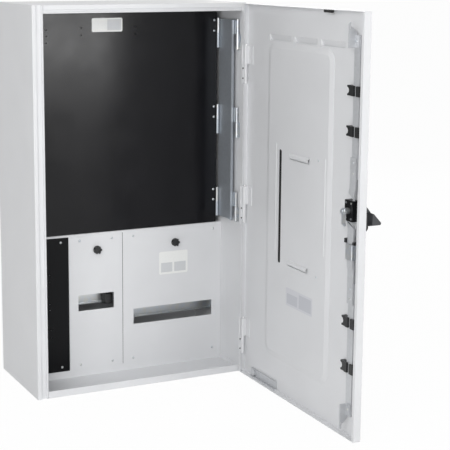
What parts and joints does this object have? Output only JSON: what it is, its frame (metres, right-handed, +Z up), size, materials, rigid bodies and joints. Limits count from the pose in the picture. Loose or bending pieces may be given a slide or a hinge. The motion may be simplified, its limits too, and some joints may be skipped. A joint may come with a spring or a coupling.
{
  "type": "electric meter cabinet",
  "caption": "Wall-mounted sheet-steel meter cabinet with an open louvred door and rod lock, a hinged black meter panel and slotted escutcheons over breaker rails.",
  "frame": {"origin": "centre of the four wall-fixing holes, on the outer face of the back", "axes": "+X to the right seen from the front, +Y from the front into the wall, +Z up"},
  "size_m": [0.6843, 0.9401, 1.06],
  "materials": {
    "housing_grey": "light grey powder coat",
    "panel_black": "glossy black enamel",
    "zinc_plate": "bright zinc plating",
    "black_moulding": "matt black nylon",
    "lock_body": "black painted die casting",
    "bumper_rubber": "soft black rubber"
  },
  "bodies": {
    "cabinet": {"housing_wrap": "housing_grey", "roof_panel": "housing_grey", "floor_panel": "housing_grey", "gland_plate": "housing_grey", "gland_screws": "zinc_plate", "bay_frame": "housing_grey", "side_cover": "panel_black", "escutcheon_left": "housing_grey", "escutcheon_right": "housing_grey", "front_screws": "zinc_plate", "din_rail_left": "zinc_plate", "din_rail_right": "zinc_plate", "rail_brackets": "zinc_plate", "rail_end_stop": "black_moulding", "panel_stop_angle": "housing_grey", "wall_leaves": "housing_grey", "link_hinge_pins": "zinc_plate", "frame_leaves": "housing_grey", "door_hinge_pins": "zinc_plate", "frame_leaf_rivets": "zinc_plate"},
    "door": {"door_pan": "housing_grey", "door_liner": "housing_grey", "liner_screws": "zinc_plate", "door_leaves": "housing_grey", "lock_case": "lock_body", "lock_cover": "lock_body", "cover_rivets": "zinc_plate", "rod_guides": "black_moulding", "rod_bridge": "zinc_plate", "bridge_buffers": "black_moulding", "stay_guide": "housing_grey", "stay_stop": "black_moulding", "door_bumper": "bumper_rubber", "handle_rose": "lock_body", "padlock_eye": "zinc_plate"},
    "handle_set": {"handle": "lock_body", "spindle": "zinc_plate", "pinion": "zinc_plate", "locking_cam": "zinc_plate", "cam_nut": "zinc_plate"},
    "upper_rods": {"upper_rack": "zinc_plate", "upper_rod": "zinc_plate", "upper_hook": "zinc_plate", "upper_rod_screws": "zinc_plate"},
    "lower_rods": {"lower_rack": "zinc_plate", "lower_rod": "zinc_plate", "lower_hook": "zinc_plate", "lower_rod_screws": "zinc_plate"},
    "link": {"link_plate": "panel_black", "link_front_leaves": "housing_grey", "link_rear_leaves": "zinc_plate", "panel_hinge_pins": "zinc_plate"},
    "panel": {"meter_panel": "panel_black", "panel_leaves": "zinc_plate", "panel_leaf_screws": "zinc_plate"},
    "left_knob": {"knob_left": "black_moulding", "latch_arm_left": "zinc_plate"},
    "right_knob": {"knob_right": "black_moulding", "latch_arm_right": "zinc_plate"}
  },
  "joints": [
    {"name": "door_swing", "type": "hinge", "parent": "cabinet", "child": "door", "pos_m": [0.3065, -0.321, 0], "axis": [0, 0, 1], "range_deg": [-89, 28]},
    {"name": "handle_turn", "type": "hinge", "parent": "door", "child": "handle_set", "pos_m": [0.28557, -0.88972, 0.047], "axis": [-0.9998, 0.0175, 0], "range_deg": [0, 90]},
    {"name": "upper_rod_slide", "type": "slide", "parent": "door", "child": "upper_rods", "axis": [0, 0, 1], "range_m": [0, 0.01483]},
    {"name": "lower_rod_slide", "type": "slide", "parent": "door", "child": "lower_rods", "axis": [0, 0, -1], "range_m": [0, 0.01483]},
    {"name": "link_swing", "type": "hinge", "parent": "cabinet", "child": "link", "pos_m": [0.3045, -0.275, 0.194], "axis": [0, 0, 1], "range_deg": [0, 60]},
    {"name": "panel_swing", "type": "hinge", "parent": "link", "child": "panel", "pos_m": [0.2945, -0.174, 0.194], "axis": [0, 0, 1], "range_deg": [0, 55]},
    {"name": "left_knob_turn", "type": "hinge", "parent": "cabinet", "child": "left_knob", "pos_m": [-0.0825, -0.17, -0.162], "axis": [0, 1, 0], "range_deg": [0, 90]},
    {"name": "right_knob_turn", "type": "hinge", "parent": "cabinet", "child": "right_knob", "pos_m": [0.1605, -0.17, -0.162], "axis": [0, 1, 0], "range_deg": [0, 90]}
  ],
  "couplings": [
    {"joint": "upper_rod_slide", "follows": "handle_turn", "m_per_rad": 0.009375},
    {"joint": "lower_rod_slide", "follows": "handle_turn", "m_per_rad": 0.009375}
  ]
}
